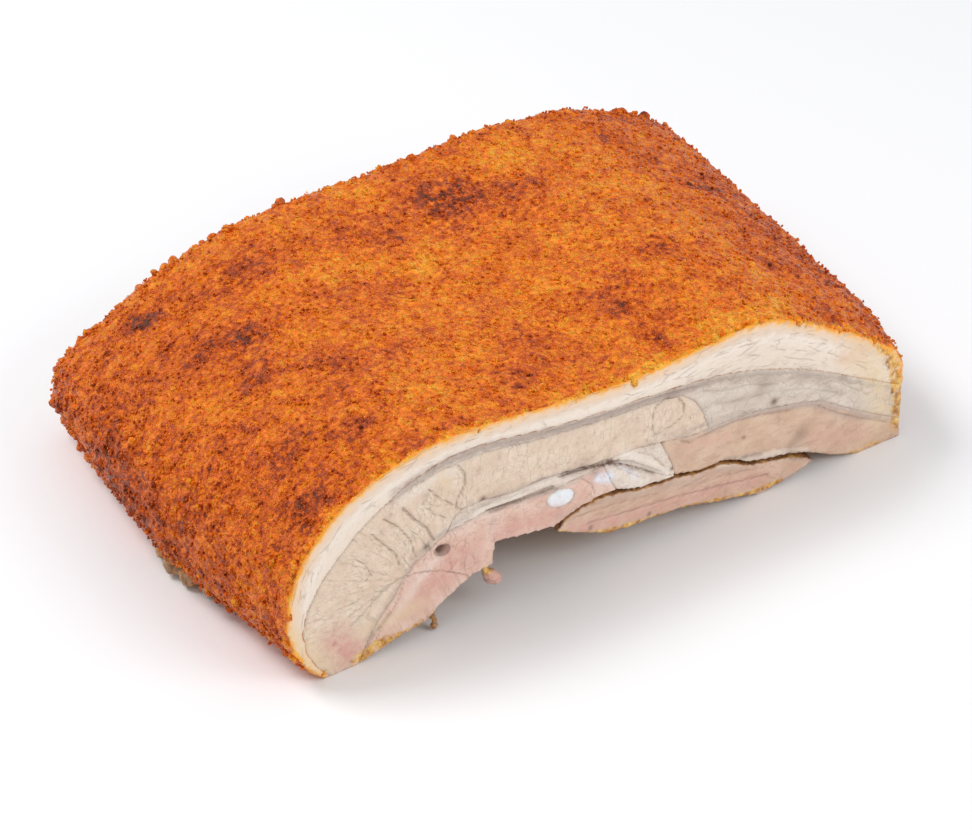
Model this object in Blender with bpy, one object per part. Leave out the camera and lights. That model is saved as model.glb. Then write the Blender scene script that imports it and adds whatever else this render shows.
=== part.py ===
"""A piece of roast pork belly, lying as an arch on its two ends.

The slab is drawn first as a flat section in the X-Z plane, the way a knife shows it: lines that run from the
left end to the right end part the fat, the lean and the gristle. Each layer between two lines is pushed back
along +Y through the whole piece. One function, settle(), then gives every layer the lie of the real slab, so
that neighbours stay neighbours. Lengths are in millimetres until the mesh is finished, and metres after that.
"""

import math

import bmesh
import bpy
from mathutils import Vector

MM = 0.001

# Driving dimensions of the slab.
DEPTH = 119.0  # from the knife cut at the front to the back side
GAP = 0.3  # clearance between two layers that lie on each other
STEP = 5.0  # spacing of the points along a section line
FOOT = 0.4  # what lies lower than this in the section is flat on the surface below

# How the slab changes from the cut face to the back side.
BACK_SHRINK = ((-9, 0.80), (-3, 0.65), (8, 0.66), (27, 0.75), (45, 0.85), (66, 0.91), (96, 0.95), (122, 0.95),
               (138, 1.05), (155, 1.14), (168, 1.14))  # (x, height at the back as a share of that at the front)
RIGHT_SPREAD = 11.5  # the right end runs this much further out at the back
LEFT_SPREAD = 1.0  # and the left end this much
RIGHT_SHOULDER = 4.5  # the rind bulges this much over the right end, from just behind the cut
LEFT_BELLY = 5.5  # how far the left end swells out halfway back
BACK_ROUND = 9.0  # radius of the rounded edges round the back side
BACK_DROP = 0.09  # share of its height that the back edge loses in that rounding
BACK_DRAW_IN = 4.0  # how far the ends are drawn in at the back edge, towards the middle
SWELL = 0.7  # height of the slow waves in the roasted top
MIDDLE_X = 80.0  # the middle of the section

# Where along the section each of those changes sets in and where it is full, as x from left to right.
LEFT_ZONE = (-8, 45)  # the left end's changes, full at the first and gone at the second
RIGHT_ZONE = (60, 168)
SHOULDER_ZONE = (120, 160)

SLICES = (0.05, 0.13, 0.24, 0.37, 0.5, 0.62, 0.74, 0.84, 0.925, 0.965, 0.99)  # cuts across the depth

# Section lines, each from left to right, as (x, z).
RIND = ((0.2, 0.0), (-3.6, 3.6), (-6.8, 10.0), (-8.4, 17.0), (-7.9, 24.0), (-5.8, 31.0), (-2.0, 37.3), (3.2, 42.6),
        (9.5, 47.0), (17.5, 50.5), (27.0, 52.8), (39.0, 53.3), (52.0, 52.2), (66.0, 50.9), (81.0, 49.9),
        (96.0, 50.4), (109.0, 51.6), (119.0, 51.7), (128.0, 49.5), (138.0, 44.4), (149.0, 37.8), (158.0, 31.8),
        (164.0, 27.4), (166.8, 22.0), (167.2, 16.3))
FAT_FLOOR_BEND = ((2.2, 0.0), (-1.0, 4.0), (-3.4, 9.0), (-4.2, 15.0), (-3.0, 20.5), (0.3, 26.5), (5.0, 32.0),
                  (10.5, 37.0), (17.0, 41.3))
FAT_FLOOR = ((17.0, 41.3), (23.0, 44.6), (30.0, 46.8), (38.0, 47.8), (48.0, 46.9), (60.0, 45.0), (75.0, 43.5),
             (90.0, 42.7), (104.0, 41.5), (114.0, 39.8), (124.0, 36.8), (134.0, 33.0), (144.0, 28.0), (155.0, 22.0),
             (167.2, 15.7))
SEAM_FLOOR = ((17.0, 41.3), (24.0, 43.3), (31.0, 44.9), (39.0, 45.4), (48.0, 44.6), (57.0, 43.0), (70.0, 41.8),
              (83.0, 40.8), (92.0, 40.4), (98.0, 39.4), (102.0, 36.3), (104.5, 32.0), (106.5, 26.6))
CREVICE = ((9.5, 0.0), (12.0, 5.5), (15.0, 10.3), (19.0, 14.8), (21.5, 19.0), (25.5, 22.6), (30.0, 25.2),
           (33.5, 27.2))
LEAN_FLOOR = ((33.5, 27.2), (35.0, 30.4), (38.0, 32.1), (43.0, 32.2), (50.0, 31.1), (60.0, 31.3), (70.0, 30.2),
              (78.0, 29.5), (86.0, 29.2), (92.5, 28.2))
LEAN_TIP = ((92.5, 28.2), (98.5, 27.0), (103.0, 26.3), (106.5, 26.6))
SEAM_UNDER = ((33.5, 27.2), (40.0, 28.2), (45.0, 28.7), (51.0, 27.8), (60.0, 27.4), (68.0, 27.4), (76.0, 28.3))
TENDON_UNDER = ((76.0, 28.3), (81.0, 26.9), (85.0, 24.4), (90.0, 20.7), (94.5, 17.7), (97.3, 16.9))
TENDON_EDGE = ((97.3, 16.9), (96.0, 20.7), (94.3, 24.4), (92.5, 28.2))
SIDE_TOP = ((106.5, 26.6), (116.0, 26.3), (124.0, 25.3), (133.0, 23.4), (141.0, 20.9), (148.0, 16.6), (156.0, 11.8),
            (162.0, 8.4), (167.7, 5.4))
GRISTLE_EDGE = ((76.0, 28.3), (77.4, 25.3), (78.8, 22.0), (80.3, 19.5))
GRISTLE_FLOOR = ((80.3, 19.5), (84.0, 18.0), (88.0, 17.1), (92.5, 16.8), (97.3, 16.9))
ARCH_ROOF = ((80.3, 19.5), (76.0, 19.7), (70.0, 18.9), (66.0, 17.5), (62.5, 16.3), (55.0, 17.3), (50.0, 18.2),
             (46.6, 18.9))
ARCH_STEP = ((46.6, 18.9), (46.1, 16.5), (45.8, 12.8))
LEFT_FOOT = ((45.8, 12.8), (40.0, 12.0), (35.0, 9.3), (31.0, 7.0), (28.0, 4.3), (20.0, 2.8), (14.0, 1.0), (9.5, 0.0))
SIDE_FLOOR = ((97.3, 16.9), (104.0, 15.1), (111.0, 15.2), (116.0, 13.4), (119.0, 11.6), (125.0, 10.0), (131.0, 9.0),
              (137.0, 7.0), (141.0, 5.2), (147.0, 2.2), (154.0, 0.0))
FLAP_TOP = ((63.0, 14.6), (65.0, 16.6), (70.0, 18.4), (76.0, 19.2), (81.0, 18.4), (86.0, 16.9), (92.0, 16.2),
            (98.0, 16.0), (104.0, 14.5), (111.0, 14.4), (116.0, 12.6), (119.0, 10.9), (125.0, 9.3), (131.0, 8.2),
            (136.0, 6.4), (140.5, 4.0))
FLAP_FLOOR = ((140.5, 4.0), (138.0, 2.6), (131.0, 1.0), (124.0, 0.0), (117.0, 1.8), (110.0, 3.2), (104.0, 4.9),
              (98.0, 6.2), (88.0, 6.6), (78.0, 7.6), (72.0, 10.2), (67.0, 12.5), (63.0, 14.6))

# The white tip of a rib's cartilage, an oval plug in the cut face of the lower lean.
RIB_TIP_CENTRE = (64.2, 23.9)
RIB_TIP_RADII = (3.8, 2.5)
RIB_TIP_LEAN = math.radians(-12)  # how far its long axis dips to the right
RIB_TIP_DEPTH = 16.0

# Surface colours: (red, green, blue), roughness.
CRACKLING = ((0.58, 0.17, 0.035), 0.5)
FAT = ((0.74, 0.62, 0.50), 0.42)
LEAN = ((0.62, 0.46, 0.34), 0.55)
PINK_LEAN = ((0.62, 0.36, 0.29), 0.52)
GRISTLE = ((0.72, 0.66, 0.60), 0.3)
CARTILAGE = ((0.86, 0.87, 0.88), 0.15)


def between(low, high, value):
    """0 below low, 1 above high, and a soft slope in between."""
    share = min(max((value - low) / (high - low), 0.0), 1.0)
    return share * share * (3 - 2 * share)


def along(table, x):
    """The value at x of a table of (x, value), in a straight run from one entry to the next."""
    if x <= table[0][0]:
        return table[0][1]
    for (x0, value0), (x1, value1) in zip(table, table[1:]):
        if x <= x1:
            share = (x - x0) / (x1 - x0)
            return value0 + (value1 - value0) * share
    return table[-1][1]


def curve_through(points, step=STEP):
    """Points about a step apart on a smooth Catmull-Rom curve through the given ones, ends included."""
    ends = [2 * Vector(points[0]) - Vector(points[1])]
    knots = ends + [Vector(p) for p in points] + [2 * Vector(points[-1]) - Vector(points[-2])]
    found = [knots[1]]
    for before, start, end, after in zip(knots, knots[1:], knots[2:], knots[3:]):
        pieces = max(1, round((end - start).length / step))
        for number in range(1, pieces + 1):
            t = number / pieces
            found.append(0.5 * (2 * start + (end - before) * t
                                + (2 * before - 5 * start + 4 * end - after) * t ** 2
                                + (3 * start - before - 3 * end + after) * t ** 3))
    return found


def outline(*lines):
    """One closed outline from section lines laid end to end. A line marked '-' is walked from right to left."""
    ring = []
    for line in lines:
        reverse = line[0] == "-"
        points = curve_through(line[1] if reverse else line)
        ring += (points[::-1] if reverse else points)[:-1]
    return [p for p, after in zip(ring, ring[1:] + ring[:1]) if (after - p).length > 0.05]


def drawn_in(ring, margin):
    """The outline with every point moved inwards by a margin, so that a layer stays clear of its neighbour."""
    turn = sum(p.x * q.y - q.x * p.y for p, q in zip(ring, ring[1:] + ring[:1]))
    side = 1 if turn > 0 else -1
    moved = []
    for before, point, after in zip(ring[-1:] + ring[:-1], ring, ring[1:] + ring[:1]):
        first = (point - before).normalized()
        second = (after - point).normalized()
        inward = Vector((-first.y - second.y, first.x + second.x)) * side
        reach = margin / max(inward.length / 2, 0.5)
        moved.append(point + inward.normalized() * reach)
    return moved


def prism(name, ring, depth):
    """A filled 2D curve pushed back by depth along +Y, as a mesh with its caps welded on."""
    curve = bpy.data.curves.new(name + "_section", "CURVE")
    curve.dimensions = "2D"
    curve.fill_mode = "BOTH"
    curve.extrude = depth / 2
    spline = curve.splines.new("POLY")
    spline.points.add(len(ring) - 1)
    for place, point in zip(spline.points, ring):
        place.co = (point.x, point.y, 0.0, 1.0)
    spline.use_cyclic_u = True
    drawn = bpy.data.objects.new(name + "_section", curve)
    drawn.rotation_euler.x = math.radians(90)
    drawn.location.y = depth / 2
    bpy.context.scene.collection.objects.link(drawn)
    bpy.context.view_layer.update()
    graph = bpy.context.evaluated_depsgraph_get()
    mesh = bpy.data.meshes.new_from_object(drawn.evaluated_get(graph))
    mesh.transform(drawn.matrix_world)
    bpy.data.objects.remove(drawn)
    return mesh


def wave(x, y):
    """The slow unevenness of the roasted top, between -1 and 1."""
    return 0.5 * math.sin(x / 17.0 + y / 31.0) + 0.5 * math.sin(y / 15.0 - x / 43.0 + 1.3)


def settle(x, y, z):
    """Moves a point of the straight prism to its place in the real slab, which changes from front to back."""
    share = min(max(y / DEPTH, 0.0), 1.0)
    place_x = x
    place_x += RIGHT_SPREAD * share * between(*RIGHT_ZONE, x)
    place_x += RIGHT_SHOULDER * between(0, 0.12, share) * between(*SHOULDER_ZONE, x) * between(12, 28, z)
    left = 1 - between(*LEFT_ZONE, x)
    place_x -= left * (LEFT_SPREAD * share + LEFT_BELLY * max(math.sin(math.pi * share), 0.0) ** 1.5)
    place_z = z * (1 + share * (along(BACK_SHRINK, x) - 1))
    place_z += SWELL * wave(x, y) * between(0.0, 0.3, share) * between(12, 40, z)

    # The back edge is rounded like a quarter circle: it drops a little and its ends are drawn in.
    rounding = max(0.0, (y - DEPTH + BACK_ROUND) / BACK_ROUND)
    fall = 1 - math.sqrt(1 - min(rounding, 1.0) ** 2)
    place_x += (MIDDLE_X - place_x) / MIDDLE_X * BACK_DRAW_IN * fall
    place_z *= 1 - BACK_DROP * fall * between(0, 30, z)
    if z < FOOT:
        place_z = 0.0
    return Vector((place_x, y, place_z))


def material(name, look):
    colour, roughness = look
    made = bpy.data.materials.new(name)
    made.use_nodes = True
    shader = made.node_tree.nodes["Principled BSDF"]
    shader.inputs["Base Color"].default_value = (*colour, 1.0)
    shader.inputs["Roughness"].default_value = roughness
    return made


def layer(name, look, collection, *lines, depth=DEPTH, ring=None):
    """One layer of the slab: its section outline, pushed back, sliced across and settled."""
    mesh = prism(name, drawn_in(ring or outline(*lines), GAP / 2), depth)
    body = bmesh.new()
    body.from_mesh(mesh)
    bmesh.ops.remove_doubles(body, verts=body.verts, dist=0.01)
    for share in SLICES:
        if share * DEPTH < depth:
            everything = list(body.verts) + list(body.edges) + list(body.faces)
            bmesh.ops.bisect_plane(body, geom=everything, dist=0.001, plane_co=(0, share * DEPTH, 0),
                                   plane_no=(0, 1, 0))
    for vertex in body.verts:
        vertex.co = settle(*vertex.co) * MM
    bmesh.ops.recalc_face_normals(body, faces=body.faces)
    body.to_mesh(mesh)
    body.free()
    made = bpy.data.objects.new(name, mesh)
    mesh.name = name
    mesh.materials.append(material(name, look))
    mesh.shade_smooth()
    mesh.set_sharp_from_angle(angle=math.radians(50))
    collection.objects.link(made)
    return made


def oval(centre, radii, lean, count=24):
    """An oval outline with its long axis turned by lean."""
    ring = []
    for number in range(count):
        angle = 2 * math.pi * number / count
        x, z = radii[0] * math.cos(angle), radii[1] * math.sin(angle)
        ring.append(Vector((centre[0] + x * math.cos(lean) - z * math.sin(lean),
                            centre[1] + x * math.sin(lean) + z * math.cos(lean))))
    return ring


def seat_rib_tip(lean_layer, parts, cutters):
    """The cartilage plug, and the pocket that it fills in the cut face of the lower lean."""
    ring = oval(RIB_TIP_CENTRE, RIB_TIP_RADII, RIB_TIP_LEAN)
    plug = layer("rib_tip", CARTILAGE, parts, depth=RIB_TIP_DEPTH, ring=ring)
    wider = oval(RIB_TIP_CENTRE, [r + GAP for r in RIB_TIP_RADII], RIB_TIP_LEAN)
    pocket = layer("rib_tip_pocket", CARTILAGE, cutters, depth=RIB_TIP_DEPTH + GAP, ring=wider)
    for vertex in pocket.data.vertices:
        if vertex.co.y < 1 * MM:
            vertex.co.y = -2 * MM
    pocket.hide_render = True
    pocket.display_type = "WIRE"
    cut = lean_layer.modifiers.new("rib_tip_pocket", "BOOLEAN")
    cut.operation = "DIFFERENCE"
    cut.object = pocket
    return plug


def stand_on_origin(objects, parts):
    """Shifts everything so that the origin is at the middle of the footprint, on the surface below."""
    corners = [vertex.co for part in parts for vertex in part.data.vertices]
    low = Vector([min(c[axis] for c in corners) for axis in range(3)])
    high = Vector([max(c[axis] for c in corners) for axis in range(3)])
    shift = Vector((-(low.x + high.x) / 2, -(low.y + high.y) / 2, -low.z))
    for part in objects:
        for vertex in part.data.vertices:
            vertex.co += shift
        part.data.update()


def new_collection(name):
    made = bpy.data.collections.new(name)
    bpy.context.scene.collection.children.link(made)
    return made


def main():
    for old in list(bpy.data.objects):
        bpy.data.objects.remove(old)
    parts = new_collection("roast_pork_belly")
    cutters = new_collection("cutters")

    layer("rind_and_fat", CRACKLING, parts, RIND, ((167.2, 16.3), (167.2, 15.7)), ("-", FAT_FLOOR),
          ("-", FAT_FLOOR_BEND), ((2.2, 0.0), (0.2, 0.0)))
    layer("streaky_fat", FAT, parts, FAT_FLOOR, ((167.2, 15.7), (167.7, 5.4)), ("-", SIDE_TOP), ("-", SEAM_FLOOR))
    layer("upper_lean", LEAN, parts, FAT_FLOOR_BEND, SEAM_FLOOR, ("-", LEAN_TIP), ("-", LEAN_FLOOR), ("-", CREVICE),
          ((9.5, 0.0), (2.2, 0.0)))
    layer("tendon_sheet", GRISTLE, parts, LEAN_FLOOR, ("-", TENDON_EDGE), ("-", TENDON_UNDER), ("-", SEAM_UNDER))
    lower_lean = layer("lower_lean", PINK_LEAN, parts, CREVICE, SEAM_UNDER, GRISTLE_EDGE, ARCH_ROOF, ARCH_STEP,
                       LEFT_FOOT)
    layer("gristle", GRISTLE, parts, TENDON_UNDER, ("-", GRISTLE_FLOOR), ("-", GRISTLE_EDGE))
    layer("side_lean", LEAN, parts, TENDON_EDGE, LEAN_TIP, SIDE_TOP, ((167.7, 5.4), (168.0, 0.0)),
          ((168.0, 0.0), (154.0, 0.0)), ("-", SIDE_FLOOR))
    layer("rib_flap", PINK_LEAN, parts, FLAP_TOP, FLAP_FLOOR)
    seat_rib_tip(lower_lean, parts, cutters)
    stand_on_origin(list(parts.objects) + list(cutters.objects), parts.objects)


main()
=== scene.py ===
# %% [markdown]
# # A roast pork belly
# The real thing is a slab of belly that went into the oven rind up. The heat bent it into a low arch,
# blistered the rind into granular orange crackling, and then one side was cut with a knife. So there are
# two very different surfaces: a rough, spotted crust, and a moist, pale cut face where fat, lean and
# gristle lie in bands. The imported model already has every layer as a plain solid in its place. This file
# gives each of them its fine surface, and never moves one.

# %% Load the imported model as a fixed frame
import math

import bmesh
import bpy
import numpy as np
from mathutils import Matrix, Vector
from mathutils.bvhtree import BVHTree
from mathutils.kdtree import KDTree


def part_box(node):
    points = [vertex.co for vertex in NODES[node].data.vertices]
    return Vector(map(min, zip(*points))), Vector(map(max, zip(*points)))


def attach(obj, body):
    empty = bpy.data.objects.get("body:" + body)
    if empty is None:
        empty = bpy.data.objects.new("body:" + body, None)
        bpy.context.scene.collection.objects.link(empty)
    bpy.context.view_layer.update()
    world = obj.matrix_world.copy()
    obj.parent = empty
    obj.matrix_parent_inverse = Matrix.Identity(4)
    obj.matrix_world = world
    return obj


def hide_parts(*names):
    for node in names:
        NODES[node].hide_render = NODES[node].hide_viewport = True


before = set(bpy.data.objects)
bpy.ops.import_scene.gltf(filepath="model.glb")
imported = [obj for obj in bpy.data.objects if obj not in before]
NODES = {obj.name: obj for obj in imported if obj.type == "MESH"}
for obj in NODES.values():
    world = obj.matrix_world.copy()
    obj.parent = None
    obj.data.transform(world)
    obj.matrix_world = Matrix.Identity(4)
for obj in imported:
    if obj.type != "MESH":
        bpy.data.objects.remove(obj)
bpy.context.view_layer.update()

MM = 0.001
FRONT = min(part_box(node)[0][1] for node in NODES)  # the plane of the knife cut
BACK = max(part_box(node)[1][1] for node in NODES)
print("nodes:", sorted(NODES), "cut at y =", round(FRONT, 4), "back at y =", round(BACK, 4))

# %% [markdown]
# ## Camera, floor and light
# The camera looks down on the corner between the cut and the steep end through a long lens, which keeps the
# slab's edges nearly parallel. The light is that of a white tent: a bright world, a large lamp above and
# behind on the left that makes the crackling glint, and a weaker one in front that lifts the cut face.

# %% Camera
CAMERA_PLACE = Vector((-0.3031, -0.4591, 0.3992))
CAMERA_TURN = math.radians(-33.43)  # to the right of the Y axis
CAMERA_DIP = math.radians(35.73)

lens = bpy.data.cameras.new("camera")
lens.lens = 100
lens.sensor_width = 36
camera = bpy.data.objects.new("camera", lens)
camera.location = CAMERA_PLACE
camera.rotation_euler = (math.pi / 2 - CAMERA_DIP, 0, CAMERA_TURN)
bpy.context.scene.collection.objects.link(camera)
bpy.context.scene.camera = camera
bpy.context.scene.view_settings.view_transform = "Standard"
bpy.context.scene.view_settings.look = "None"
print("camera", round((CAMERA_PLACE - Vector((0, 0, 0.02))).length, 3), "m from the slab")


# %% Floor and lamps
def plain_material(name, colour, roughness):
    """A material of one colour, for what isn't part of the object."""
    made = bpy.data.materials.new(name)
    made.use_nodes = True
    shader = made.node_tree.nodes["Principled BSDF"]
    shader.inputs["Base Color"].default_value = (*colour, 1)
    shader.inputs["Roughness"].default_value = roughness
    return made


def lamp(name, place, aim, size, power):
    """A square area lamp at a place, turned towards its aim."""
    data = bpy.data.lights.new(name, "AREA")
    data.size = size
    data.energy = power
    made = bpy.data.objects.new(name, data)
    made.location = place
    made.rotation_euler = (Vector(aim) - Vector(place)).to_track_quat("-Z", "Y").to_euler()
    bpy.context.scene.collection.objects.link(made)


bpy.ops.mesh.primitive_plane_add(size=8, location=(0, 0, 0))
floor = bpy.context.object
floor.name = "floor"
floor.data.materials.append(plain_material("floor_white", (0.93, 0.93, 0.94), 0.6))
lamp("lamp_above", (-0.45, 0.35, 0.85), (0, 0, 0.02), 0.4, 5.2)
lamp("lamp_front", (0.5, -0.85, 0.6), (0, 0, 0.02), 0.6, 4.2)
world = bpy.data.worlds.new("white_tent")
bpy.context.scene.world = world
world.use_nodes = True
world.node_tree.nodes["Background"].inputs["Color"].default_value = (0.97, 0.98, 1.0, 1)
world.node_tree.nodes["Background"].inputs["Strength"].default_value = 0.6

# %% [markdown]
# ## Measuring the slab
# Crust, fat and lean all follow the same bend, so patterns must bend with them. A place on the cut face is
# measured along the rind's line and below it, like a street address. The rind's line is read from the front
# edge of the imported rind.


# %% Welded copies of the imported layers
def only(piece):
    """Selects one object and makes it the active one."""
    bpy.ops.object.select_all(action="DESELECT")
    piece.select_set(True)
    bpy.context.view_layer.objects.active = piece


def welded_copy(node, name):
    """A copy of a packed layer, whose loose triangles are joined at their corners."""
    piece = NODES[node].copy()
    piece.data = NODES[node].data.copy()
    piece.name = name
    piece.data.name = name
    piece.data.materials.clear()
    bpy.context.scene.collection.objects.link(piece)
    only(piece)
    bpy.ops.object.mode_set(mode="EDIT")
    bpy.ops.mesh.select_all(action="SELECT")
    bpy.ops.mesh.remove_doubles(threshold=0.00001)
    bpy.ops.object.mode_set(mode="OBJECT")
    return piece


def tree_of(piece):
    """A search tree of a piece's faces, to measure distances from."""
    places = [vertex.co for vertex in piece.data.vertices]
    return BVHTree.FromPolygons(places, [tuple(face.vertices) for face in piece.data.polygons])


WELDED = {node: welded_copy(node, node + "_welded") for node in sorted(NODES)}
TREES = {node: tree_of(piece) for node, piece in WELDED.items()}
print("welded layers:", {node: len(piece.data.vertices) for node, piece in WELDED.items()})


# %% The rind's line on the cut face
def rind_line():
    """The points of the rind's outer edge on the cut, from the steep end's foot to the sloping end."""
    mesh = bmesh.new()
    mesh.from_mesh(WELDED["rind_and_fat"].data)
    at_cut = {v for v in mesh.verts if v.co.y < FRONT + 0.01 * MM}
    beside = {v: [] for v in at_cut}
    for edge in mesh.edges:
        if set(edge.verts) <= at_cut and sum(set(f.verts) <= at_cut for f in edge.link_faces) == 1:
            beside[edge.verts[0]].append(edge.verts[1])
            beside[edge.verts[1]].append(edge.verts[0])
    foot = min((v for v in at_cut if v.co.z < 0.5 * MM), key=lambda v: v.co.x)
    end = max(at_cut, key=lambda v: v.co.x - v.co.z)
    routes = []
    for step in beside[foot]:
        route = [foot, step]
        while route[-1] is not end:
            route.append(next(v for v in beside[route[-1]] if v is not route[-2]))
        routes.append([(v.co.x, v.co.z) for v in route])
    mesh.free()
    return np.array(max(routes, key=lambda route: sum(z for _, z in route) / len(route)))


LINE = rind_line()
CORNER_X = LINE[0][0] - 0.35 * MM  # where the rind's line starts; section places below are measured from here
print("rind line:", len(LINE), "points, from", LINE[0].round(4), "to", LINE[-1].round(4))


def distance_to(line, places):
    """For each place (x, z), how far it is from a line of points, and how far along that line."""
    nearest = np.full(len(places), 9.0)
    along = np.zeros(len(places))
    run = 0.0
    for start, end in zip(line[:-1], line[1:]):
        way = end - start
        length = np.hypot(*way)
        share = np.clip((places - start) @ way / length ** 2, 0, 1)
        distance = np.hypot(*(places - start - share[:, None] * way).T)
        nearer = distance < nearest
        nearest = np.where(nearer, distance, nearest)
        along = np.where(nearer, run + share * length, along)
        run += length
    return nearest, along


def on_cut(points):
    """Places on the cut face, written in mm from the foot of the rind's line, in the scene's units."""
    return np.array([(CORNER_X + x * MM, z * MM) for x, z in points])


# %% [markdown]
# ## From plain layer to fine piece
# Each layer starts as a welded copy. Remesh gives it small even faces, Decimate thins out the faces that
# lie hidden against a neighbour, and the points are then moved a little: hidden sides swell so that no slit
# shows between layers, and the cut face gets its grooves and bumps. Each point also keeps what it knows
# about its place as named attributes, which the materials read: `strata` (along the rind's line, behind the
# cut, below the rind), `under` (distance from the layer above), `browning` (1 where the oven's heat reached
# it), `seam` (1 close to another layer), `groove`, the dark round spots (painted shade where one lies in a
# pit), and the tints below.


# %% Reading and writing points and attributes
def points_of(piece):
    found = np.empty(len(piece.data.vertices) * 3, np.float32)
    piece.data.vertices.foreach_get("co", found)
    return found.reshape(-1, 3).astype(float)


def normals_of(piece):
    found = np.empty(len(piece.data.vertices) * 3, np.float32)
    piece.data.vertex_normals.foreach_get("vector", found)
    return found.reshape(-1, 3).astype(float)


def move_points(piece, places):
    places[:, 2] = np.maximum(places[:, 2], 0.02 * MM)
    piece.data.vertices.foreach_set("co", places.astype(np.float32).ravel())
    piece.data.update()


def keep(piece, name, values):
    """Stores one number, or one vector, for each point."""
    values = np.asarray(values, np.float32)
    kind, field = ("FLOAT", "value") if values.ndim == 1 else ("FLOAT_VECTOR", "vector")
    made = piece.data.attributes.get(name) or piece.data.attributes.new(name, kind, "POINT")
    made.data.foreach_set(field, values.ravel())


def recall(piece, name):
    """The number that each point keeps under a name."""
    values = np.zeros(len(piece.data.vertices), np.float32)
    piece.data.attributes[name].data.foreach_get("value", values)
    return values


def soft_step(low, high, values):
    share = np.clip((values - low) / (high - low), 0, 1)
    return share * share * (3 - 2 * share)


def distances(tree, places):
    """How far each place is from a tree's faces, up to 30 mm."""
    found = [tree.find_nearest(place, 30 * MM)[3] for place in places.tolist()]
    return np.array([30 * MM if away is None else away for away in found])


def apply_modifier(piece, kind, **settings):
    """Adds a modifier, sets it and applies it at once."""
    only(piece)
    added = piece.modifiers.new(kind.lower(), kind)
    for key, value in settings.items():
        setattr(added, key, value)
    bpy.ops.object.modifier_apply(modifier=added.name)


# %% [markdown]
# Some colours don't stop at a layer's border, such as the purple-grey that lies along the seams, or the
# pink round them. They are brush strokes on the cut: a width, a strength and the points of a line, in mm,
# with x measured from the foot of the rind and z up. Every layer that a stroke crosses takes its share.

# %% Brush strokes on the cut
TINTS = {
    "rosy": ((8, 0.8, [(4, 9), (8, 4)]), (10, 0.65, [(27, 13), (38, 19)]), (6, 0.6, [(48, 21), (63, 20)]),
             (4, 0.6, [(68, 13.5), (80, 10.5), (96, 9), (112, 7), (124, 5)]),
             (6, 0.35, [(140, 10), (156, 6)]),
             (5, 0.5, [(147, 32), (153, 31)]), (3, 0.35, [(100, 24), (112, 22)]),
             (3, 0.4, [(70, 22), (76, 26)])),
    "pale": ((3, 0.55, [(22, 41), (30, 43.5), (36, 44)]), (2.2, 0.6, [(40, 29.8), (52, 30), (64, 30.6)]),
             (2.4, 0.9, [(82, 29.5), (88, 25), (93, 20), (95.5, 17.5)]),
             (4, 0.75, [(79, 24.5), (84, 21), (88, 18.5)]),
             (2, 0.6, [(104, 36), (112, 34.5), (120, 33.5)]), (2.4, 0.55, [(124, 30), (136, 27), (146, 23)]),
             (2.2, 0.8, [(111, 14.8), (118, 12.8), (128, 10.5), (137, 7.5)]),
             (2, 0.5, [(31, 28), (38, 29.5), (45, 29)]),
             (2.5, 0.45, [(20, 10), (26, 17), (31, 21)])),
    # The clear strokes are the cartilage's whitish colour; the bright bluish oval of the first stroke is also
    # a painted highlight of its gloss.
    "clear": ((3.0, 1.0, [(75, 25.4), (77.8, 24.2)]), (1.4, 0.5, [(81, 26.5), (86, 21)])),
    "grey": ((2.2, 0.75, [(20, 44), (27, 46.2), (35, 47.4), (46, 46.8), (56, 44.8), (66, 43), (80, 41.9),
                          (92, 41.3), (100, 40.6), (110, 39.4)]),
             (2.6, 0.5, [(100, 41), (113, 38.5), (121, 35.5), (129, 32.5), (137, 29.5), (142, 25.5),
                         (147, 21)]),
             (1.8, 0.6, [(97, 28), (106, 28.4), (115, 27.4), (124, 25.4), (136, 21.8), (141, 19.5),
                         (147, 14.6), (153, 11.5), (161, 8.5)]),
             (1.6, 0.55, [(24, 24), (30, 27), (36, 29), (42, 31), (50, 31.3), (58, 31.6), (67, 30.6)]),
             (1.8, 0.45, [(12, 6), (15, 11), (20, 17), (24, 22), (28, 26)]),
             (4, 0.3, [(88, 29), (95, 29.5), (101, 27)]),
             (3, 0.35, [(64, 18.6), (76, 18.6), (90, 15.6), (108, 13), (124, 10.6), (134, 8)]),
             (7, 0.28, [(108, 35.5), (120, 31.5), (132, 27)])),
    # The dark strokes are painted shade: they darken the gaps between layers along the deepest grooves.
    "dark": ((1.3, 0.95, [(65, 30.2), (70, 29.9), (74, 28.9), (80, 28)]),
             (1.0, 0.7, [(76, 28.8), (81, 26.6), (87, 22.8), (91, 20)]),
             (1.2, 0.55, [(45, 28.3), (54, 27.9), (63, 27)]),
             (1.6, 0.5, [(112, 15.4), (117, 14), (123, 12.6)]),
             (2.2, 0.85, [(132, 8.6), (138, 6), (143, 3)]), (1.0, 0.5, [(11, 3), (14, 7), (18, 11)])),
    "amber": ((5.0, 1.0, [(158, 33), (162, 27), (165, 20), (166, 12), (167, 4)]),
              (5.0, 0.9, [(-9.5, 14), (-7, 8), (-3, 2)]),
              (3.6, 1.0, [(9, 1.5), (15, 3.5), (22, 3), (28, 4), (33, 6.5)]),
              (1.6, 0.8, [(36, 9), (42, 11.5), (46, 12.5)]),
              (2.0, 0.9, [(62, 15), (70, 10.6), (78, 8.4), (90, 6.8), (101, 5.6), (112, 3.4), (120, 1.9),
                          (130, 1.5)]),
              (1.2, 0.6, [(47, 18), (55, 17), (62, 16)]), (2.0, 0.7, [(143, 1.5), (152, 0.8), (162, 0.8)]),
              (2.6, 0.9, [(84, 51), (84.4, 47.8)]), (2.6, 0.8, [(122, 54), (127, 50.5)]),
              (2, 0.7, [(104, 52), (110, 51)])),
    "honey": ((9, 0.7, [(150, 32), (156, 26), (160, 18), (161, 10)]), (6, 0.6, [(-7, 17), (-4, 10), (0, 5)]),
              (4, 0.5, [(12, 9), (18, 9), (26, 10)]), (3, 0.4, [(32, 44), (33, 40)]))}


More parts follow.
